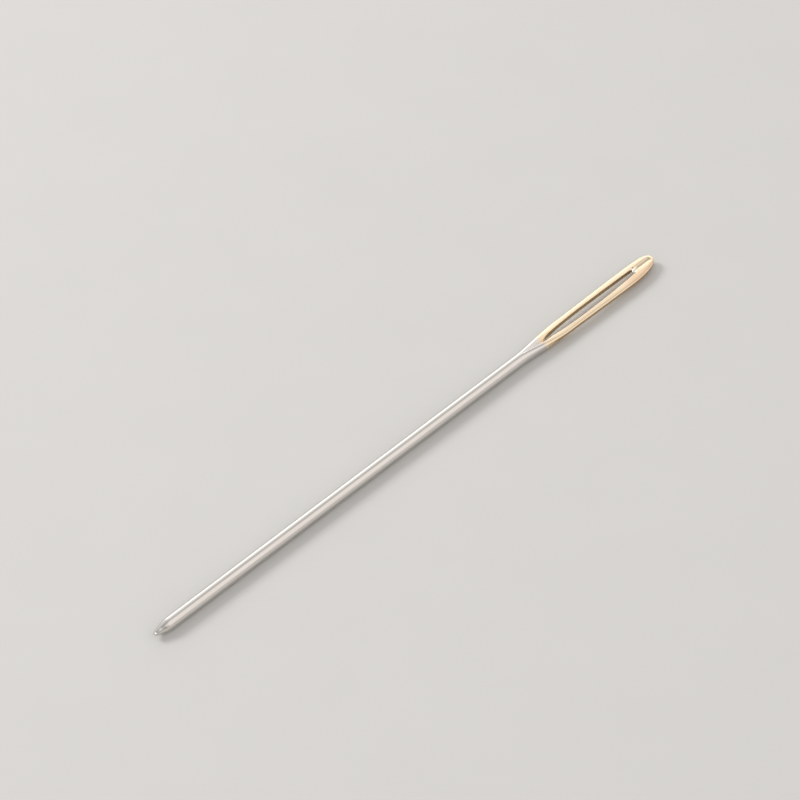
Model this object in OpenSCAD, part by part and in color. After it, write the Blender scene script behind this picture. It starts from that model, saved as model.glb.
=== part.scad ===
// Yarn needle: one drawn steel wire, pointed at one end and pressed flat at the other,
// where a long eye is punched between two stamped gutters. Nickel covers the shaft and
// gold covers the eye. The needle lies along X with its head at +X and its face up.

/* [Wire] */
// Length from the nose of the point to the end of the head
needle_l = 70; // [56:0.5:100]
// Diameter of the drawn wire
wire_d = 1.27; // [1.1:0.01:1.6]

/* [Point] */
// Radius of the blunt nose
nose_r = 0.27; // [0.15:0.01:0.4]
// Length of the point, back to where the wire is full size
point_l = 2; // [1.5:0.1:8]
// Radius of the soft shoulder behind the point
shoulder_r = 2; // [0.8:0.1:4]

/* [Pressed end] */
// Length over which the round wire spreads into the flat
flare_l = 7; // [5:0.5:12]
// Length of the flat, from the end of the flare to the end of the head
flat_l = 13.5; // [11:0.5:18]
// Width of the flat just after the flare
flat_w = 2; // [1.8:0.02:2.5]
// Width of the flat at its widest, near the head
eye_w = 2.16; // [1.9:0.02:2.7]
// Thickness of the flat
eye_t = 0.55; // [0.4:0.01:0.7]
// Squareness of the flat's section, where 1 is an ellipse
flat_square_ratio = 2; // [1.25:0.05:3]

/* [Head] */
// Length over which the head narrows to its end
head_l = 4.5; // [3:0.1:7]
// Length over which the head thins to its end
head_thin_l = 0.7; // [0.3:0.1:1.5]
// Fullness of the head's outline, where 2 is an ellipse
head_fullness_ratio = 2.6; // [2:0.1:3.4]
// How far the end of the head was pressed off the middle line
head_offset = 0.25; // [0:0.01:0.3]

/* [Slot] */
// Metal left between the slot and the end of the head
head_land = 2.9; // [2:0.1:4]
// Length of the slot
slot_l = 13.6; // [10:0.1:16]
// Width of the slot at its widest
slot_w = 0.97; // [0.7:0.01:1.2]
// Length of the slot's pointed nose
slot_nose_l = 6; // [2:0.1:7]
// Width of the slot at its square end
slot_end_w = 0.64; // [0.4:0.01:0.9]
// Corner radius at the square end
slot_corner_r = 0.12; // [0.05:0.01:0.2]
// How far the square end was punched off the middle line
slot_offset = 0.13; // [0:0.01:0.18]

/* [Gutters] */
// Length of the gutter between the shaft and the slot
shaft_gutter_l = 3; // [1.5:0.1:5]
// Radius at the bottom of that gutter
valley_r = 0.08; // [0.04:0.01:0.12]
// Slope of its walls, in degrees
gutter_slope = 50; // [40:1:60]
// Width of the gutter between the slot and the head
head_gutter_w = 0.58; // [0.3:0.01:0.7]
// Depth of that gutter
head_gutter_t = 0.14; // [0.08:0.01:0.18]
// Metal left between that gutter and the end of the head
head_rim = 0.35; // [0.2:0.01:0.6]
// Length of the scoop that leads from that gutter into the slot
scoop_l = 0.7; // [0.4:0.1:1.2]

/* [Plating] */
// Length of the gold in front of the slot's pointed nose
gold_lead_l = 0.5; // [0.4:0.1:2]
// Thickness of the nickel and of the gold, thicker than life so that they are solids
plating_t = 0.04; // [0.03:0.005:0.06]

/* [Hidden] */

$fn = 64;
wire_r = wire_d / 2;

// Where things start along the needle, from the nose
flare_x = needle_l - flat_l - flare_l;
flat_x = needle_l - flat_l;
wide_x = needle_l - head_l;
slot_end_x = needle_l - head_land;
slot_x = slot_end_x - slot_l;
gold_x = slot_x - gold_lead_l;

// The shoulder is no rounder than the length of the point allows, with a little cone left
shoulder_fit_r = (pow(point_l - nose_r, 2) / (wire_r - nose_r) + wire_r + nose_r) / 2;
shoulder_most_ratio = 0.98;
shoulder_used_r = min(shoulder_r, shoulder_most_ratio * shoulder_fit_r);

// Half angle of the cone that touches the nose and the shoulder
cone_reach = norm([point_l - nose_r, shoulder_used_r - wire_r]);
cone_a = atan2(point_l - nose_r, shoulder_used_r - wire_r)
    - acos((shoulder_used_r - nose_r) / cone_reach);

// Steps round an arc of the point, round the slot, and along and round the pressed end
arc_steps = 10;
slot_steps = 14;
flare_steps = 16;
side_steps = 7;
head_steps = 14;
ring_steps = 36;

// The head's outline stops where it is almost closed
head_stop_ratio = 0.998;
head_thin_ratio = 0.85;

// The pressed end starts inside the wire, a hair under its skin, so that they make one solid
seat_l = 0.5;
seat_gap = 0.004;
// How far the cut of the gutter starts above the wire, and its part of the slot's nose
gutter_lead_l = 0.5;
gutter_run_ratio = 1 / 3;
// The scoop stays this far inside the sides of the slot
scoop_gap = 0.02;
// How far cutting shapes reach past what they cut
cut_over = 1;

function mix(a, b, k) = a + (b - a) * k;
function ease(k) = k * k * (3 - 2 * k);
function signed_pow(v, p) = sign(v) * pow(abs(v), p);
function round_pt(c, r, a) = [c.x - r * sin(a), c.y + r * cos(a)];

// Edge of the point and the shaft, from the nose back to the flare
function shaft_profile(inset) = concat(
    [for (k = [0 : arc_steps])
        round_pt([nose_r, 0], nose_r - inset, mix(90, cone_a, k / arc_steps))],
    [for (k = [0 : arc_steps])
        round_pt([point_l, wire_r - shoulder_used_r], shoulder_used_r - inset,
            mix(cone_a, 0, k / arc_steps))],
    [[flare_x, wire_r - inset], [flare_x, 0]]);

// Stations of the pressed end: place, half width, half thickness and exponent of its section
function seat_station(inset) = [
    flare_x - seat_l, wire_r - seat_gap - inset, wire_r - seat_gap - inset, 2];
function flare_station(k, inset) = [
    mix(flare_x, flat_x, k),
    mix(wire_r - seat_gap, flat_w / 2, ease(k)) - inset,
    mix(wire_r - seat_gap, eye_t / 2, ease(k)) - inset,
    2 * mix(1, flat_square_ratio, ease(k))];
function side_station(k, inset) = [
    mix(flat_x, wide_x, k),
    mix(flat_w, eye_w, ease(k)) / 2 - inset,
    eye_t / 2 - inset,
    2 * flat_square_ratio];
function head_station(k, inset) = let (
    reach = sin(90 * k),
    x = wide_x + (head_l - inset) * reach,
    thin = max(0, (x + head_thin_l + inset - needle_l) / head_thin_l)) [
    x,
    (eye_w / 2 - inset)
        * pow(1 - pow(reach * head_stop_ratio, head_fullness_ratio), 1 / head_fullness_ratio),
    (eye_t / 2 - inset) * sqrt(1 - head_thin_ratio * pow(thin, 3)),
    2 * flat_square_ratio];
function stations(inset) = concat(
    [seat_station(inset)],
    [for (k = [0 : flare_steps - 1]) flare_station(k / flare_steps, inset)],
    [for (k = [0 : side_steps - 1]) side_station(k / side_steps, inset)],
    [for (k = [0 : head_steps]) head_station(k / head_steps, inset)]);

// Sideways drift of the head, which grows towards its end
function head_drift(x) = head_offset * pow(max(0, x - wide_x) / head_l, 2);

// One ring of the pressed end, a squared ellipse
function ring(s) = [for (j = [0 : ring_steps - 1]) let (a = 360 * j / ring_steps) [
    s[0],
    s[1] * signed_pow(cos(a), 2 / s[3]) + head_drift(s[0]),
    s[2] * signed_pow(sin(a), 2 / s[3])]];

// Half of the slot's outline: pointed nose, long taper, square end with round corners
function slot_side(inset) = let (
    taper_x = slot_x + slot_nose_l,
    corner_x = slot_end_x - slot_corner_r) concat(
    [for (k = [0 : slot_steps]) let (a = 90 * k / slot_steps) [
        taper_x - (slot_nose_l + inset) * cos(a),
        (slot_w / 2 + inset) * sin(a)]],
    [for (k = [1 : slot_steps]) let (v = k / slot_steps) [
        mix(taper_x, corner_x, v),
        mix(slot_w, slot_end_w, v * v) / 2 + inset]],
    [for (k = [1 : arc_steps]) let (a = 90 * k / arc_steps) [
        corner_x + (slot_corner_r + inset) * sin(a),
        slot_end_w / 2 - slot_corner_r + (slot_corner_r + inset) * cos(a)]]);

// A ring of points swept along X into one closed solid
module loft(rings) {
    n = len(rings[0]);
    last = (len(rings) - 1) * n;
    polyhedron(
        points = [for (r = rings) each r],
        faces = concat(
            [[for (j = [0 : n - 1]) j]],
            [for (i = [0 : len(rings) - 2]) for (j = [0 : n - 1]) let (
                a = i * n + j,
                b = i * n + (j + 1) % n) each [[a, a + n, b], [b, a + n, b + n]]],
            [[for (j = [n - 1 : -1 : 0]) last + j]]));
}

// Round wire, from the blunt nose to the start of the flare
module pointed_shaft(inset) {
    rotate([90, 0, 90])
        rotate_extrude()
            polygon([for (p = shaft_profile(inset)) [p.y, p.x]]);
}

// Wire pressed from round to flat, with a full head
module pressed_end(inset) {
    loft([for (s = stations(inset)) ring(s)]);
}

// Sideways drift of the slot, which grows towards its square end
function slot_drift(x) = slot_offset * pow(max(0, x - slot_x) / slot_l, 3);

module slot_cut(inset) {
    side = slot_side(inset);
    outline = concat(side, [for (k = [len(side) - 1 : -1 : 1]) [side[k].x, -side[k].y]]);
    translate([0, 0, -cut_over])
        linear_extrude(2 * cut_over)
            polygon([for (p = outline) [p.x, p.y + slot_drift(p.x)]]);
}

// Straight V groove along X with a round valley, whose lowest line starts at the origin
module groove(length, inset) {
    r = valley_r + inset;
    foot = [r * sin(gutter_slope), valley_r - r * cos(gutter_slope)];
    top = foot + 2 * cut_over * [cos(gutter_slope), sin(gutter_slope)];
    rotate([90, 0, 90])
        linear_extrude(length) {
            translate([0, valley_r])
                circle(r);
            polygon([foot, top, [-top.x, top.y], [-foot.x, foot.y]]);
        }
}

// Gutter that sinks from the shaft to mid thickness, and runs on into the slot
module shaft_gutter(inset) {
    start_k = max(0, (slot_x - shaft_gutter_l - flare_x) / flare_l);
    sink = flare_station(start_k, 0)[2];
    slope_l = norm([sink, shaft_gutter_l]) + gutter_lead_l;
    translate([slot_x, 0, 0]) {
        rotate([0, atan(sink / shaft_gutter_l), 0])
            translate([-slope_l, 0, 0])
                groove(slope_l, inset);
        groove(slot_nose_l * gutter_run_ratio, inset);
    }
}

// Shallow gutter on the head, with a scoop that drops from it to mid thickness at the slot
module head_gutter(inset) {
    r = (pow(head_gutter_w / 2, 2) + pow(head_gutter_t, 2)) / (2 * head_gutter_t);
    scoop_r = slot_end_w / 2 - scoop_gap;
    floor_z = eye_t / 2 - head_gutter_t;
    end_x = needle_l - head_rim - head_gutter_w / 2;
    mouth_x = slot_end_x - slot_corner_r;
    translate([mouth_x, 0, floor_z + r])
        rotate([0, 90, 0])
            cylinder(r = r + inset, h = end_x - mouth_x);
    translate([end_x, 0, floor_z + r])
        sphere(r + inset);
    translate([mouth_x, 0, 0])
        rotate([0, 90 - atan(floor_z / scoop_l), 0])
            translate([-scoop_r, 0, 0])
                cylinder(r = scoop_r + inset, h = norm([scoop_l, floor_z]));
}

// The whole needle, grown inward by the plating that is left off
module needle_form(inset) {
    difference() {
        union() {
            pointed_shaft(inset);
            pressed_end(inset);
        }
        slot_cut(inset);
        for (side = [0, 1])
            mirror([0, 0, side]) {
                shaft_gutter(inset);
                translate([0, slot_offset, 0])
                    head_gutter(inset);
            }
    }
}

// The part's own frame: middle of the length, on the surface that the shaft lies on
module placed() {
    translate([-needle_l / 2, 0, wire_r])
        children();
}

// Skin of plating between two places along the needle
module plating(from_x, to_x) {
    difference() {
        intersection() {
            needle_form(0);
            translate([from_x, -eye_w, -eye_w])
                cube([to_x - from_x, 2 * eye_w, 2 * eye_w]);
        }
        needle_form(plating_t);
    }
}

module steel_core() {
    color("dimgray")
        placed()
            needle_form(plating_t);
}

module nickel_plating() {
    color("gainsboro")
        placed()
            plating(-cut_over, gold_x);
}

module gold_plating() {
    color("goldenrod")
        placed()
            plating(gold_x, needle_l + cut_over);
}

steel_core();
nickel_plating();
gold_plating();
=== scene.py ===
import math

import bmesh
import bpy
import numpy as np
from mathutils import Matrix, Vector


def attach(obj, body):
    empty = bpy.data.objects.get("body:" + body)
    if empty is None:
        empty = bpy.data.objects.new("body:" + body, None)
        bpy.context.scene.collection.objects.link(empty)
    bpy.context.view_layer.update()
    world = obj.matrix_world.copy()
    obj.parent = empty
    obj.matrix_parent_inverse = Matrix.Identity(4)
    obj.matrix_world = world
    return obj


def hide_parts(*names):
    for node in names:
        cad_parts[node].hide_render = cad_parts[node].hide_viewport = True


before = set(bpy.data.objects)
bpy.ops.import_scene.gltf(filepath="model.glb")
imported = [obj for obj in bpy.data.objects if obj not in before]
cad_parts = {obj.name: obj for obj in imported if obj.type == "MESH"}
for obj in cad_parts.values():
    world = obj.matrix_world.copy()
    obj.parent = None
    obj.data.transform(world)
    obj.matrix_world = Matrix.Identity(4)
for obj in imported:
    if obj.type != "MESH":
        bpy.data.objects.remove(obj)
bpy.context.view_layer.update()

# sizes of the needle
# In millimetres: x from the nose of the point, y across the eye's face, z up from the axis.
# They are the source's, apart from the slight swell of the point, a squarer flat, the thinning
# of the head's end and the pit, which are this script's own.
MM = 0.001
NEEDLE_L, WIRE_R = 70.0, 0.635
NOSE_R, POINT_L, SHOULDER_R, POINT_SWELL = 0.27, 2.0, 2.0, 0.03
FLARE_L, FLAT_L = 7.0, 13.5
FLAT_W, EYE_W, EYE_T = 2.0, 2.16, 0.55
ROUND_POWER, FLAT_POWER = 2.0, 5.5
HEAD_L, HEAD_THIN_L, HEAD_THIN_SHARE, HEAD_FULL, HEAD_OFFSET = 4.5, 0.7, 0.3, 2.6, 0.25
HEAD_LAND, SLOT_L, SLOT_W, SLOT_NOSE_L = 2.9, 13.6, 0.97, 6.0
SLOT_END_W, SLOT_CORNER_R, SLOT_OFFSET = 0.64, 0.12, 0.13
SHAFT_GUTTER_L, VALLEY_R, GUTTER_SLOPE = 3.0, 0.08, math.radians(50)
GUTTER_RUN = SLOT_NOSE_L / 3
HEAD_GUTTER_W, HEAD_GUTTER_T, HEAD_RIM, SCOOP_L, SCOOP_GAP = 0.58, 0.14, 0.35, 0.7, 0.02
GOLD_LEAD_L = 0.5
PIT_AT, PIT_R = (67.36, 0.46, 0.29), 0.085

# Where the forms begin and end along the needle, and how high the head's gutter lies
FLARE_X = NEEDLE_L - FLAT_L - FLARE_L
FLAT_X = NEEDLE_L - FLAT_L
WIDE_X = NEEDLE_L - HEAD_L
SLOT_END_X = NEEDLE_L - HEAD_LAND
MOUTH_X = SLOT_END_X - SLOT_CORNER_R
SLOT_X = SLOT_END_X - SLOT_L
GOLD_X = SLOT_X - GOLD_LEAD_L
HEAD_FLOOR = EYE_T / 2 - HEAD_GUTTER_T

# How softly the stamped and punched edges are rounded
SLOT_EDGE, GUTTER_EDGE, HEAD_EDGE, SCOOP_BLEND, PIT_EDGE = 0.07, 0.06, 0.14, 0.08, 0.03

# How far the marks on the gold reach, and how softly they end
WEAR_REACH = 0.05
# The next row shapes the painted shade on the slot's walls and the eye's sides.
STEEP_LEAD_L, STEEP_FROM, STEEP_SOFT = 2, 0.5, 0.4
ROSY_LEAD_L, ROSY_LEAD_SOFT, ROSY_SIDE, ROSY_SIDE_SOFT = 1, 2, 0.1, 0.4
# The next row shapes the painted highlight in the scoop.
HIGHLIGHT_EDGE, HIGHLIGHT_START_SOFT, HIGHLIGHT_END_SOFT = 0.05, 0.1, 0.25
# The next row shapes the painted shade on one wall of the head's gutter.
GUTTER_SHADE_EDGE, GUTTER_SHADE_START_SOFT, GUTTER_SHADE_SIDE_SOFT = 0.05, 0.2, 0.2

# How finely the pieces are made, and the limits that keep their sums steady. ROUND_EDGE leads
# from an edge of the grid back to the four cells round it.
ARC_RINGS, CONE_RINGS, SHOULDER_RINGS, SHAFT_RINGS, FLARE_RINGS = 15, 23, 15, 59, 89
RING_POINTS = 256
RAY_START, RAY_END, RAY_HALVINGS = 0.02, 1.3, 32
GRID_ALONG, GRID_ACROSS, GRID_MARGIN, GRID_PAST_HEAD = 0.05, 0.025, 0.05, 3
ROUND_EDGE = ((0, 0), (1, 0), (1, 1), (0, 1))
SETTLE_ROUNDS, SETTLE_STEP, GRADIENT_STEP = 5, 0.02, 1e-3
TINY, LEAST_SQUARE = 1e-6, 1e-3
LEAST_BODY_SLOPE, LEAST_SLOT_SLOPE = 0.2, 0.05
SHARP_ANGLE = math.radians(70)


# the needle as a field
def mix(a, b, k):
    return a + (b - a) * k


def ease(k):
    k = np.clip(k, 0, 1)
    return k * k * (3 - 2 * k)


def smooth_max(a, b, width):
    """The larger of two distances, rounded where they are nearly equal."""
    h = np.maximum(width - np.abs(a - b), 0) / width
    return np.maximum(a, b) + h * h * width / 4


def cone_angle():
    """Slope of the cone that touches the nose and the shoulder."""
    along, across = POINT_L - NOSE_R, SHOULDER_R - WIRE_R
    return math.atan2(along, across) - math.acos((SHOULDER_R - NOSE_R) / math.hypot(along, across))


def shaft_radius(x):
    """Radius of the round nose, the cone, its soft shoulder and the shaft."""
    a = cone_angle()
    nose_x = NOSE_R * (1 - math.sin(a))
    shoulder_x = POINT_L - SHOULDER_R * math.sin(a)
    nose = np.sqrt(np.maximum(NOSE_R**2 - (x - NOSE_R)**2, 0))
    cone = NOSE_R * math.cos(a) + (x - nose_x) * math.tan(a)
    shoulder = WIRE_R - SHOULDER_R + np.sqrt(
        np.maximum(SHOULDER_R**2 - np.minimum(x - POINT_L, 0)**2, 0))
    k = np.clip((x - nose_x) / (POINT_L - nose_x), 0, 1)
    swell = POINT_SWELL * np.sin(np.pi * k)**2
    return np.where(x < nose_x, nose, np.where(x < shoulder_x, cone, shoulder) + swell)


def off_slot_line(x, y):
    """Distance to the side of the slot's own line, which drifts off the middle."""
    return y - SLOT_OFFSET * np.clip((x - SLOT_X) / SLOT_L, 0, 1)**3


def plan_gauge(x, y, half_w):
    """0 on the middle line and 1 on the outline seen from above, past it more."""
    reach = np.maximum(x - WIDE_X, 0) / HEAD_L
    side = np.abs(y - HEAD_OFFSET * reach**2) / half_w
    gauge = (side**HEAD_FULL + reach**HEAD_FULL)**(1 / HEAD_FULL)
    safe = np.maximum(gauge, TINY)
    slope = np.sqrt(((side / safe)**(HEAD_FULL - 1) / half_w)**2
                    + ((reach / safe)**(HEAD_FULL - 1) / HEAD_L)**2)
    slope = np.where(gauge < TINY, 1 / half_w, slope)
    return np.maximum(1 + (gauge - 1) / slope / half_w, 0)


def pressed_body(x, y, z):
    """Distance to the pressed end before anything is cut into it."""
    flare = ease((x - FLARE_X) / FLARE_L)
    wide = ease((x - FLAT_X) / (WIDE_X - FLAT_X))
    half_w = mix(WIRE_R, FLAT_W / 2, flare) + (EYE_W - FLAT_W) / 2 * wide
    thin = np.clip((x + HEAD_THIN_L - NEEDLE_L) / HEAD_THIN_L, 0, 1)
    half_t = mix(WIRE_R, EYE_T / 2, flare) * np.sqrt(1 - HEAD_THIN_SHARE * thin**3)
    m = mix(ROUND_POWER, FLAT_POWER, flare)
    u = plan_gauge(x, y, half_w)
    v = np.abs(z) / half_t
    gauge = np.maximum((u**m + v**m)**(1 / m), TINY)
    slope = np.sqrt(((u / gauge)**(m - 1) / half_w)**2 + ((v / gauge)**(m - 1) / half_t)**2)
    return (gauge - 1) / np.maximum(slope, LEAST_BODY_SLOPE)


def slot_distance(x, y):
    """Below 0 in the slot: pointed nose, long taper, square end with round corners."""
    y = off_slot_line(x, y)
    taper_x = SLOT_X + SLOT_NOSE_L
    along = np.maximum(taper_x - x, 0) / SLOT_NOSE_L
    across = np.abs(y) / (SLOT_W / 2)
    gauge = np.maximum(np.hypot(along, across), TINY)
    slope = np.hypot(along / SLOT_NOSE_L, across / (SLOT_W / 2)) / gauge
    nose = (gauge - 1) / np.maximum(slope, LEAST_SLOT_SLOPE)
    k = np.clip((x - taper_x) / (MOUTH_X - taper_x), 0, 1)
    px = x - MOUTH_X
    py = np.abs(y) - mix(SLOT_W, SLOT_END_W, k * k) / 2 + SLOT_CORNER_R
    square = (np.minimum(np.maximum(px, py), 0)
              + np.hypot(np.maximum(px, 0), np.maximum(py, 0)) - SLOT_CORNER_R)
    return np.where(x < taper_x, nose, square)


def shaft_gutter_depth(x, y, z):
    """Above 0 in the V gutter that sinks from the shaft to mid thickness at the slot."""
    start_x = SLOT_X - SHAFT_GUTTER_L
    k = ease(np.array((start_x - FLARE_X) / FLARE_L))
    fall = mix(WIRE_R, EYE_T / 2, k) / SHAFT_GUTTER_L
    floor = np.maximum(SLOT_X - x, 0) * fall
    foot_y = VALLEY_R * math.sin(GUTTER_SLOPE)
    foot_z = VALLEY_R * (1 - math.cos(GUTTER_SLOPE))
    near = np.minimum(np.abs(y), foot_y)
    valley = VALLEY_R - np.sqrt(VALLEY_R**2 - near**2)
    wall = foot_z + (np.abs(y) - foot_y) * math.tan(GUTTER_SLOPE)
    section = np.where(np.abs(y) < foot_y, valley, wall)
    depth = (np.abs(z) - floor - section) * math.cos(GUTTER_SLOPE)
    return np.minimum(depth, SLOT_X + GUTTER_RUN - x)


def trough_depth(x, y, z):
    """Above 0 in the round, shallow gutter along the head."""
    r = ((HEAD_GUTTER_W / 2)**2 + HEAD_GUTTER_T**2) / (2 * HEAD_GUTTER_T)
    past = np.maximum(x - (NEEDLE_L - HEAD_RIM - HEAD_GUTTER_W / 2), 0)
    return r - np.sqrt(off_slot_line(x, y)**2 + (np.abs(z) - HEAD_FLOOR - r)**2 + past**2)


def scoop_depth(x, y, z):
    """Above 0 in the scoop that drops from that gutter to the slot."""
    rise = math.atan2(HEAD_FLOOR, SCOOP_L)
    r = SLOT_END_W / 2 - SCOOP_GAP
    across = -(x - MOUTH_X) * math.sin(rise) + np.abs(z) * math.cos(rise) - r
    return np.minimum(r - np.hypot(off_slot_line(x, y), across), MOUTH_X + SCOOP_L - x)


def head_gutter_depth(x, y, z):
    """Above 0 in the head's gutter and its scoop, which start at the mouth of the slot."""
    both = smooth_max(trough_depth(x, y, z), scoop_depth(x, y, z), SCOOP_BLEND)
    return np.minimum(both, x - MOUTH_X)


def pit_depth(x, y, z):
    """Above 0 in the small pit that the punch left beside the slot's square end."""
    px, py, pz = PIT_AT
    return PIT_R - np.sqrt((x - px)**2 + (y - py)**2 + (np.abs(z) - pz)**2)


def cuts(x, y, z):
    """Distances into the slot, the gutters and the pit, each above 0 where metal is gone."""
    return (-slot_distance(x, y), shaft_gutter_depth(x, y, z),
            head_gutter_depth(x, y, z), pit_depth(x, y, z))


def needle(x, y, z):
    """Below 0 inside the pressed end, with its slot, gutters and pit cut."""
    slot, shaft_gutter, head_gutter, pit = cuts(x, y, z)
    d = pressed_body(x, y, z)
    for depth, edge in ((head_gutter, HEAD_EDGE), (shaft_gutter, GUTTER_EDGE),
                        (slot, SLOT_EDGE), (pit, PIT_EDGE)):
        d = smooth_max(d, depth, edge)
    return d


def gradient(field, p):
    """How fast a field changes along x, y and z at each point."""
    steps = np.eye(3) * GRADIENT_STEP
    return np.stack([(field(*(p + s).T) - field(*(p - s).T)) / (2 * GRADIENT_STEP)
                     for s in steps], axis=1)


# marks: how much of each tone, painted shade or painted highlight a point of the metal has
def within(depth, soft):
    """1 inside a cut, falling to 0 over a soft edge outside it."""
    return ease(1 + depth / soft)


def edge_wear(x, y, z):
    """1 on a punched or stamped edge, falling to 0 within a tenth of a millimetre."""
    found = np.sort(np.array([pressed_body(x, y, z), *cuts(x, y, z)]), axis=0)
    return np.exp(-((found[-1] - found[-2]) / WEAR_REACH)**2)


def wall_shade_share(x, y, z):
    """Painted shade, 0 on the faces of the flat and 1 on the walls of the slot and the eye's sides.
    """
    g = gradient(needle, np.stack([x, y, z], axis=1))
    up = np.abs(g[:, 2]) / np.maximum(np.linalg.norm(g, axis=1), TINY)
    return ease((x - GOLD_X) / STEEP_LEAD_L) * ease((STEEP_FROM - up) / STEEP_SOFT)


def rosiness(x, y, z):
    """1 on one half of the head, where the gold has more copper under it."""
    on_head = ease((x - WIDE_X + ROSY_LEAD_L) / ROSY_LEAD_SOFT)
    return on_head * ease((ROSY_SIDE - y) / ROSY_SIDE_SOFT)


def gutter_shade(x, y, z):
    """1 on the +Y wall of the head's gutter, where shade is painted into the gold."""
    on_wall = ease(0.5 + off_slot_line(x, y) / GUTTER_SHADE_SIDE_SOFT)
    past_scoop = ease((x - MOUTH_X - SCOOP_L) / GUTTER_SHADE_START_SOFT)
    return within(trough_depth(x, y, z), GUTTER_SHADE_EDGE) * past_scoop * on_wall


def scoop_highlight(x, y, z):
    """1 in the scoop, where a highlight is painted into the gold."""
    ends = (ease((x - SLOT_END_X) / HIGHLIGHT_START_SOFT + 1)
            * ease((MOUTH_X + SCOOP_L - x) / HIGHLIGHT_END_SOFT))
    return within(scoop_depth(x, y, z), HIGHLIGHT_EDGE) * ends


def pit_shade_share(x, y, z):
    """1 in the pit, where the gold is painted dark as shade."""
    return within(pit_depth(x, y, z), PIT_EDGE)


# meshes
def to_frame(p):
    """From the needle's millimetres to the row frame's metres."""
    return (p + np.array([-NEEDLE_L / 2, 0, WIRE_R])) * MM


def new_object(name, data):
    thing = bpy.data.objects.new(name, data)
    bpy.context.scene.collection.objects.link(thing)
    return thing


def make_piece(name, points, faces, marks):
    """A closed mesh: the open rim at the edge of the gold is filled."""
    mesh = bpy.data.meshes.new(name)
    mesh.from_pydata(to_frame(points).tolist(), [], faces)
    bm = bmesh.new()
    bm.from_mesh(mesh)
    rim = [e for e in bm.edges if e.is_boundary]
    bmesh.ops.holes_fill(bm, edges=rim, sides=0)
    bmesh.ops.recalc_face_normals(bm, faces=bm.faces)
    bm.to_mesh(mesh)
    bm.free()
    for mark, values in marks.items():
        mesh.attributes.new(mark, "FLOAT", "POINT").data.foreach_set("value", values)
    mesh.shade_smooth()
    mesh.set_sharp_from_angle(angle=SHARP_ANGLE)
    return new_object(name, mesh)


def steps_after(start, end, count):
    """Even places after the start, the last of them at the end."""
    return np.linspace(start, end, count + 1)[1:]


def ring_places():
    """Places of the rings along the nickel piece: close on the point and on the flare."""
    a = cone_angle()
    arc = NOSE_R * (1 - np.cos(steps_after(0, math.pi / 2 - a, ARC_RINGS)))
    cone = steps_after(arc[-1], POINT_L - SHOULDER_R * math.sin(a), CONE_RINGS)
    shoulder = steps_after(cone[-1], POINT_L, SHOULDER_RINGS)
    shaft = steps_after(POINT_L, FLARE_X, SHAFT_RINGS)
    flare = steps_after(FLARE_X, GOLD_X, FLARE_RINGS)
    return np.concatenate([arc, cone, shoulder, shaft, flare])


def cast_rings(places):
    """Points of each ring, found along rays from the axis."""
    angles = np.arange(RING_POINTS) * 2 * math.pi / RING_POINTS
    x, a = [g.ravel() for g in np.meshgrid(places, angles, indexing="ij")]
    low, high = np.full(x.shape, RAY_START), np.full(x.shape, RAY_END)
    for _ in range(RAY_HALVINGS):
        r = (low + high) / 2
        out = needle(x, r * np.cos(a), r * np.sin(a)) > 0
        low, high = np.where(out, low, r), np.where(out, r, high)
    r = np.where(x <= FLARE_X, shaft_radius(x), low)
    return np.stack([x, r * np.cos(a), r * np.sin(a)], axis=1)


def make_nickel():
    """Point, shaft and the start of the flare, up to the edge of the gold."""
    places = ring_places()
    points = np.vstack([[[0, 0, 0]], cast_rings(places)])
    ring = [(j, (j + 1) % RING_POINTS) for j in range(RING_POINTS)]
    faces = [(0, 1 + b, 1 + a) for a, b in ring]
    for i in range(len(places) - 1):
        here, there = 1 + i * RING_POINTS, 1 + (i + 1) * RING_POINTS
        faces += [(here + a, here + b, there + b, there + a) for a, b in ring]
    wear = np.where(points[:, 0] > FLARE_X, edge_wear(*points.T), 0)
    return make_piece("nickel_shaft", points, faces, {"wear": wear})


def crossings(f, axes, axis):
    """The grid's edges along an axis that the surface crosses: their first corners, the
    places where it does, and which of them leave the inside."""
    before, beyond = [slice(None)] * 3, [slice(None)] * 3
    before[axis], beyond[axis] = slice(0, -1), slice(1, None)
    inside = f < 0
    index = np.argwhere(inside[tuple(before)] != inside[tuple(beyond)])
    after = index.copy()
    after[:, axis] += 1
    f0, f1 = f[tuple(index.T)], f[tuple(after.T)]
    at = np.stack([axes[k][index[:, k]] for k in range(3)], axis=1)
    at[:, axis] += f0 / (f0 - f1) * (axes[axis][after[:, axis]] - axes[axis][index[:, axis]])
    return index, at, f0 < 0


def cells_round(index, axis, cells):
    """The four cells round each grid edge along an axis, and which of them the grid has."""
    others = [k for k in range(3) if k != axis]
    for back in ROUND_EDGE:
        cell = index.copy()
        cell[:, others] -= back
        yield cell, ((cell >= 0) & (cell < cells)).all(1)


def surface_net(field, axes):
    """Quads round the inside of a field on a grid, one point in each cell that it crosses.
    Also tells in which layer along the first axis each point lies."""
    f = field(*np.ix_(*axes))
    cells = tuple(n - 1 for n in f.shape)
    found = [crossings(f, axes, axis) for axis in range(3)]
    total, count = np.zeros(cells + (3,)), np.zeros(cells)
    for axis, (index, at, _) in enumerate(found):
        for cell, ok in cells_round(index, axis, cells):
            np.add.at(total, tuple(cell[ok].T), at[ok])
            np.add.at(count, tuple(cell[ok].T), 1)
    used = count > 0
    number = np.full(cells, -1)
    number[used] = np.arange(used.sum())
    faces = []
    for axis, (index, _, outward) in enumerate(found):
        quad = np.full((len(index), len(ROUND_EDGE)), -1)
        for k, (cell, ok) in enumerate(cells_round(index, axis, cells)):
            quad[ok, k] = number[tuple(cell[ok].T)]
        flip = outward if axis != 1 else ~outward
        quad[flip] = quad[flip][:, ::-1]
        faces.append(quad[(quad >= 0).all(1)])
    return total[used] / count[used][:, None], np.concatenate(faces), np.argwhere(used)[:, 0]


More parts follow.
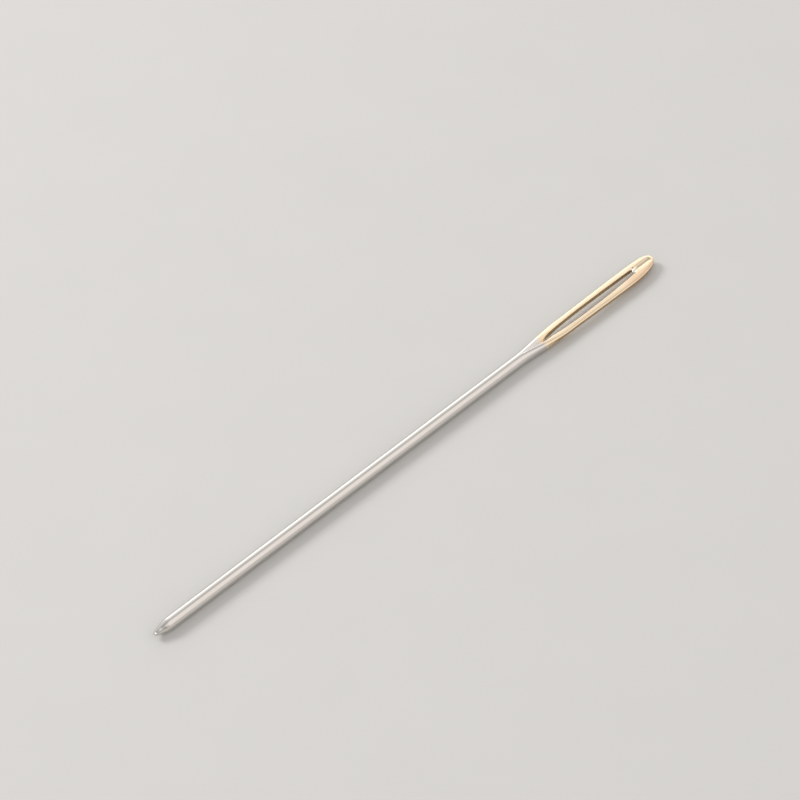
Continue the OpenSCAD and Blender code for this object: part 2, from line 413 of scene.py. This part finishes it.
def settle(field, p, flat_x):
    """Moves points onto the surface. Those in flat_x stay in their plane across the needle."""
    for _ in range(SETTLE_ROUNDS):
        g = gradient(field, p)
        g[flat_x, 0] = 0
        square = np.maximum((g * g).sum(1), LEAST_SQUARE)
        step = (field(*p.T) / square)[:, None] * g
        size = np.linalg.norm(step, axis=1, keepdims=True)
        p = p - step * np.minimum(1, SETTLE_STEP / np.maximum(size, TINY))
    return p


def grid_across(half):
    """The grid's places across the needle, a little past both sides."""
    return np.arange(-half - GRID_MARGIN, half + GRID_MARGIN + GRID_ACROSS, GRID_ACROSS)


def make_gold():
    """Both limbs of the eye, the slot's walls and the head."""
    xs = np.arange(GOLD_X - GRID_ALONG, NEEDLE_L + GRID_PAST_HEAD * GRID_ALONG, GRID_ALONG)
    axes = (xs, grid_across(EYE_W / 2), grid_across(WIRE_R))
    points, faces, layer = surface_net(needle, axes)
    rim = layer == 0
    points[rim, 0] = GOLD_X
    points = settle(needle, points, rim)
    # The marks for the walls, the gutter's wall and the pit hold painted shade, and the scoop's a
    # painted highlight.
    marks = {"wear": edge_wear, "wall_shade": wall_shade_share, "rosy": rosiness, "gutter_shade": gutter_shade,
             "scoop_highlight": scoop_highlight, "pit": pit_shade_share}
    return make_piece("gold_eye", points, faces.tolist(),
                      {name: mark(*points.T) for name, mark in marks.items()})


# materials
NICKEL, NICKEL_DULL, NICKEL_ROUGH = (0.775, 0.745, 0.715), (0.71, 0.675, 0.64), (0.10, 0.20)
GOLD, GOLD_PEACH, GOLD_ROUGH = (0.955, 0.80, 0.585), (0.96, 0.77, 0.55), (0.20, 0.36)
# The tones for the walls, one wall of the head's gutter and the pit are painted shade, and the
# scoop's tone a painted highlight.
GOLD_WORN, GOLD_ROSY, GOLD_WALL_SHADE = (0.96, 0.86, 0.70), (0.91, 0.68, 0.475), (0.60, 0.43, 0.23)
GOLD_GUTTER_SHADE, GOLD_HIGHLIGHT, PIT_SHADE = (0.68, 0.57, 0.43), (1.0, 0.95, 0.86), (0.13, 0.10, 0.07)
STEEL_DARK, STEEL_PALE, STEEL_ROUGH = (0.30, 0.30, 0.31), (0.52, 0.51, 0.50), (0.35, 0.5)
FLOOR_DIM, FLOOR_PALE, FLOOR_ROUGH, FLOOR_GLOSS = (
    (0.57, 0.565, 0.555), (0.59, 0.585, 0.575), 0.9, 0.1)

# Noises: size of a grain in millimetres along x, y and z, detail, seed, and roughness where it
# isn't the usual one. A seed moves its noise along SEED_WAY.
USUAL_ROUGH, SEED_WAY = 0.55, (1, 1.7, 0.6)
EDGE_WAVES = (0.25, 0.25, 0.25), 2.0, 3.0
NICKEL_CLOUDS = (6.0, 0.35, 0.35), 3.0, 1.0
GOLD_PATCHES = (1.4, 0.5, 0.5), 2.0, 5.0
WEAR_SPECKS = (0.5, 0.1, 0.1), 3.0, 8.0
STREAKS = (5.0, 0.09, 0.09), 4.0, 2.0, 0.6
POLISH_LINES = (2.5, 0.03, 0.03), 3.0, 4.0
SATIN_GRAIN = (0.12, 0.06, 0.06), 3.0, 6.0
DRAWN_LINES = (8.0, 0.05, 0.05), 4.0, 0.0
FLOOR_CLOUDS = (9.0, 9.0, 9.0), 2.0, 0.0

# The values of a noise between which a tone or the roughness changes
PATCH_SPAN, WEAR_SPAN, STREAK_SPAN, DRAWN_SPAN = (0.35, 0.65), (0.2, 0.75), (0.25, 0.75), (0.2, 0.8)
# Where nickel turns to gold, from GOLD_X on, and how far that edge wanders
GOLD_EDGE_FROM, GOLD_EDGE_TO, GOLD_EDGE_WAVE = -0.1, 0.65, 0.5
# Depths of the bumps in millimetres
POLISH_T, STREAK_T, SATIN_T, DRAWN_T = 0.0012, 0.003, 0.0022, 0.002


class Nodes:
    """The node tree of a material or of the world, with short calls to add to it."""

    def __init__(self, owner, shader, coordinates):
        owner.use_nodes = True
        self.owner, self.tree = owner, owner.node_tree
        self.shader = self.tree.nodes[shader]
        self.place = self.add("ShaderNodeTexCoord").outputs[coordinates]

    def link(self, value, socket):
        if isinstance(value, bpy.types.NodeSocket):
            self.tree.links.new(value, socket)
        else:
            socket.default_value = value

    def add(self, kind, inputs=None, **settings):
        """A new node with its settings, and with sockets or plain values as its inputs."""
        node = self.tree.nodes.new(kind)
        for name, value in settings.items():
            setattr(node, name, value)
        for socket, value in (inputs or {}).items():
            self.link(value, node.inputs[socket])
        return node

    def shade(self, looks):
        """Sets the owner's shader, from sockets or plain values by the names of its inputs."""
        for name, value in looks.items():
            self.link(value, self.shader.inputs[name])
        return self.owner

    def axes(self):
        return self.add("ShaderNodeSeparateXYZ", {0: self.place}).outputs

    def noise(self, size, detail, seed, rough=USUAL_ROUGH):
        """Noise whose grains are size millimetres along x, y and z."""
        spread = self.add("ShaderNodeMapping", {
            "Vector": self.place, "Scale": [1 / (s * MM) for s in size],
            "Location": [seed * way for way in SEED_WAY]})
        noise = self.add("ShaderNodeTexNoise", {
            "Vector": spread.outputs["Vector"], "Scale": 1.0, "Detail": detail,
            "Roughness": rough})
        return noise.outputs["Fac"]

    def math(self, operation, a, b, c=0.0):
        return self.add("ShaderNodeMath", {0: a, 1: b, 2: c}, operation=operation).outputs[0]

    def span(self, value, low, high, to_low=0.0, to_high=1.0):
        """Turns low to high into to_low to to_high, smoothly, and holds both ends."""
        names = ("Value", "From Min", "From Max", "To Min", "To Max")
        node = self.add("ShaderNodeMapRange", dict(zip(names, (value, low, high, to_low, to_high))),
                        interpolation_type="SMOOTHSTEP")
        return node.outputs["Result"]

    def blend(self, fac, a, b):
        """The colour a where fac is 0 and b where it is 1."""
        a, b = [v if isinstance(v, bpy.types.NodeSocket) else (*v, 1) for v in (a, b)]
        return self.add("ShaderNodeMix", {0: fac, 6: a, 7: b}, data_type="RGBA").outputs[2]

    def bump(self, height, depth, over=None):
        """A bump some millimetres deep, over another bump if there is one."""
        node = self.add("ShaderNodeBump", {"Strength": 1.0, "Distance": depth * MM,
                                           "Height": height})
        if over is not None:
            self.link(over, node.inputs["Normal"])
        return node.outputs["Normal"]

    def mark(self, name):
        """How much of a mark the mesh has at each place."""
        return self.add("ShaderNodeAttribute", attribute_name=name).outputs["Fac"]

    def ramp(self, value, stops):
        """Colours by angle, held as parts of BRIGHTEST because a ramp stops at 1."""
        node = self.add("ShaderNodeValToRGB", {0: value})
        node.color_ramp.interpolation = "B_SPLINE"
        items = node.color_ramp.elements
        while len(items) < len(stops):
            items.new(0.5)
        for item, (angle, colour) in zip(items, stops):
            item.position = angle / 180
            item.color = (*[c / BRIGHTEST for c in colour], 1)
        return self.add("ShaderNodeVectorMath", {0: node.outputs["Color"], "Scale": BRIGHTEST},
                        operation="SCALE").outputs[0]


def new_material(name):
    return Nodes(bpy.data.materials.new(name), "Principled BSDF", "Object")


def gold_share(n):
    """0 on bare nickel and 1 on gold, over a soft and slightly uneven edge."""
    from_nose = n.math("MULTIPLY_ADD", n.axes()["X"], 1 / MM, NEEDLE_L / 2)
    uneven = n.math("MULTIPLY", n.noise(*EDGE_WAVES), GOLD_EDGE_WAVE)
    return n.span(n.math("ADD", from_nose, uneven), GOLD_X + GOLD_EDGE_FROM, GOLD_X + GOLD_EDGE_TO)


def nickel_colour(n):
    return n.blend(n.noise(*NICKEL_CLOUDS), NICKEL_DULL, NICKEL)


def gold_colour(n):
    """Two tones in patches, under the marks of the head and edges, painted shade on the walls, a
    gutter wall and the pit, and a painted highlight in the scoop.
    """
    worn = n.math("MULTIPLY", n.mark("wear"), n.noise(*WEAR_SPECKS))
    colour = n.blend(n.span(n.noise(*GOLD_PATCHES), *PATCH_SPAN), GOLD, GOLD_PEACH)
    for share, tone in ((n.mark("rosy"), GOLD_ROSY), (n.span(worn, *WEAR_SPAN), GOLD_WORN),
                        (n.mark("gutter_shade"), GOLD_GUTTER_SHADE), (n.mark("wall_shade"), GOLD_WALL_SHADE),
                        (n.mark("scoop_highlight"), GOLD_HIGHLIGHT), (n.mark("pit"), PIT_SHADE)):
        colour = n.blend(share, colour, tone)
    return colour


def plated_metal(name, rough):
    """Nickel with fine lengthwise polishing lines, under satin gold past its edge."""
    n = new_material(name)
    streaks = n.noise(*STREAKS)
    fine = n.bump(n.noise(*POLISH_LINES), POLISH_T)
    wide = n.bump(streaks, STREAK_T, fine)
    return n.shade({"Base Color": n.blend(gold_share(n), nickel_colour(n), gold_colour(n)),
                    "Metallic": 1.0,
                    "Roughness": n.span(streaks, *STREAK_SPAN, *rough),
                    "Normal": n.bump(n.noise(*SATIN_GRAIN), SATIN_T, wide)})


def steel_material():
    """Hardened steel of the core, grey with drawn lines along it."""
    n = new_material("hardened_steel")
    drawn = n.noise(*DRAWN_LINES)
    return n.shade({"Base Color": n.blend(drawn, STEEL_DARK, STEEL_PALE),
                    "Metallic": 1.0,
                    "Roughness": n.span(drawn, *DRAWN_SPAN, *STEEL_ROUGH),
                    "Normal": n.bump(drawn, DRAWN_T)})


def floor_material():
    """Pale, matt and nearly even."""
    n = new_material("pale_floor")
    return n.shade({"Base Color": n.blend(n.noise(*FLOOR_CLOUDS), FLOOR_DIM, FLOOR_PALE),
                    "Roughness": FLOOR_ROUGH, "Specular IOR Level": FLOOR_GLOSS})


# studio
# Light from each height round the needle, from the far side's horizon over the top to the
# near side's: degrees and colour. ARCH fills a window towards the head, which the shaft
# mirrors, and SIDE one towards the point. GAP is the dimmer light between them.
ARCH = ((0, (0.8, 0.8, 0.8)), (10, (1.2, 1.2, 1.2)), (20, (2.2, 2.18, 2.15)),
        (28, (2.35, 2.33, 2.3)), (37, (1.4, 1.38, 1.35)), (47, (1.12, 1.10, 1.07)),
        (58, (1.12, 1.10, 1.08)), (74, (0.60, 0.60, 0.60)), (90, (0.52, 0.51, 0.50)),
        (104, (0.98, 0.94, 0.91)), (120, (1.14, 1.08, 1.04)), (145, (1.04, 0.99, 0.96)),
        (165, (1.0, 0.95, 0.92)), (180, (0.6, 0.57, 0.55)))
SIDE = ((0, (0.5, 0.5, 0.5)), (30, (1.1, 1.09, 1.08)), (60, (0.6, 0.6, 0.6)),
        (90, (0.75, 0.74, 0.73)), (122, (1.3, 1.27, 1.24)), (150, (0.95, 0.93, 0.91)),
        (180, (0.4, 0.4, 0.39)))
GAP = ((0, (0.55, 0.55, 0.55)), (35, (0.85, 0.85, 0.85)), (75, (0.6, 0.6, 0.6)),
       (95, (0.30, 0.30, 0.30)), (160, (0.30, 0.30, 0.29)), (180, (0.45, 0.44, 0.43)))
BRIGHTEST = 3.0
# Where the windows begin, as the part of a direction that points along the needle. The edge of
# ARCH moves, and its far side sharpens, between these heights as parts of half a turn.
ARCH_EDGE_FAR, ARCH_EDGE_TOP, ARCH_EDGE_NEAR, SIDE_EDGE = 0.30, 0.03, 0.12, -0.10
FAR_SOFT, EDGE_SOFT = 0.22, 0.04
FAR_TO_TOP, TOP_TO_NEAR = (0.50, 0.61), (0.72, 0.97)
# A plain pale backdrop stands behind the floor's edge, up to these parts of a direction that
# point upwards.
BACKDROP, BACKDROP_TOP, BACKDROP_FADE = (0.64, 0.635, 0.625), 0.08, 0.18

# In metres
FLOOR_HALF, LAMP_DISTANCE = 2.5, 0.7
CAMERA_DISTANCE, CAMERA_AIM = 0.38968, Vector((0.002749, 0.004645, 0.000635))
CAMERA_AZIMUTH, CAMERA_ELEVATION = math.radians(-46.43), math.radians(45)
CAMERA_LENS_MM, CAMERA_SENSOR_MM = 180, 36
CAMERA_NEAR, CAMERA_FAR = 0.01, 20


def make_world():
    """A soft studio round the needle, over a plain pale backdrop."""
    world = bpy.data.worlds.new("studio")
    bpy.context.scene.world = world
    w = Nodes(world, "Background", "Generated")
    along, across, up = w.axes()
    height = w.math("DIVIDE", w.math("ARCTAN2", up, across), math.pi)
    edge = w.math("ADD", w.span(height, *FAR_TO_TOP, ARCH_EDGE_FAR, ARCH_EDGE_TOP),
                  w.span(height, *TOP_TO_NEAR, 0.0, ARCH_EDGE_NEAR - ARCH_EDGE_TOP))
    soft = w.span(height, *FAR_TO_TOP, FAR_SOFT, EDGE_SOFT)
    arch = w.span(w.math("DIVIDE", w.math("SUBTRACT", along, edge), soft), -1, 1)
    side = w.span(w.math("SUBTRACT", SIDE_EDGE, along), -EDGE_SOFT, EDGE_SOFT)
    light = w.blend(arch, w.ramp(height, GAP), w.ramp(height, ARCH))
    light = w.blend(side, light, w.ramp(height, SIDE))
    above = w.span(up, BACKDROP_TOP, BACKDROP_FADE)
    w.shade({"Color": w.blend(above, BACKDROP, light)})


def make_floor():
    mesh = bpy.data.meshes.new("floor")
    corners = [(x * FLOOR_HALF, y * FLOOR_HALF, 0) for x, y in ((-1, -1), (1, -1), (1, 1), (-1, 1))]
    mesh.from_pydata(corners, [], [(0, 1, 2, 3)])
    floor = new_object("floor", mesh)
    mesh.materials.append(floor_material())


def face_back(thing, aim, back, distance):
    """Puts a lamp or the camera at a distance from what it faces."""
    thing.location = aim + back * distance
    thing.rotation_mode = "QUATERNION"
    thing.rotation_quaternion = back.to_track_quat("Z", "Y")


def make_lamp(name, direction, size, power, colour, mirrored=True, lights_floor=True):
    """A lamp in some direction from the needle, which the camera doesn't see."""
    lamp = bpy.data.lights.new(name, "AREA")
    lamp.shape = "RECTANGLE"
    lamp.size, lamp.size_y = size
    lamp.energy, lamp.color = power, colour
    holder = new_object(name, lamp)
    face_back(holder, Vector(), Vector(direction).normalized(), LAMP_DISTANCE)
    holder.visible_camera = False
    holder.visible_glossy = mirrored
    holder.visible_diffuse = lights_floor


def make_camera():
    """The photograph's viewing angle: a long lens, 45 degrees above the surface."""
    back = Vector((math.sin(CAMERA_AZIMUTH) * math.cos(CAMERA_ELEVATION),
                   -math.cos(CAMERA_AZIMUTH) * math.cos(CAMERA_ELEVATION),
                   math.sin(CAMERA_ELEVATION)))
    data = bpy.data.cameras.new("camera")
    data.lens, data.sensor_width = CAMERA_LENS_MM, CAMERA_SENSOR_MM
    data.clip_start, data.clip_end = CAMERA_NEAR, CAMERA_FAR
    camera = new_object("camera", data)
    face_back(camera, CAMERA_AIM, back, CAMERA_DISTANCE)
    bpy.context.scene.camera = camera


# build
nickel = make_nickel()
gold = make_gold()
nickel.data.materials.append(plated_metal("nickel_plate", NICKEL_ROUGH))
gold.data.materials.append(plated_metal("gold_plate", GOLD_ROUGH))
for piece, node, slot in ((nickel, "nickel_plating", "nickel"), (gold, "gold_plating", "gold")):
    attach(piece, "root")
    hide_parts(node)

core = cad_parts["steel_core"]
core.data.materials.clear()
core.data.materials.append(steel_material())

make_floor()
make_world()
make_lamp("key", (-0.30, 0.75, 0.58), size=(0.30, 0.22), power=2.8, colour=(1.0, 0.99, 0.97),
          mirrored=False)
make_lamp("glint", (-0.50, -0.46, 0.73), size=(0.24, 0.24), power=1.4, colour=(1.0, 1.0, 1.0),
          lights_floor=False)
make_camera()
bpy.context.scene.view_settings.view_transform = "Standard"
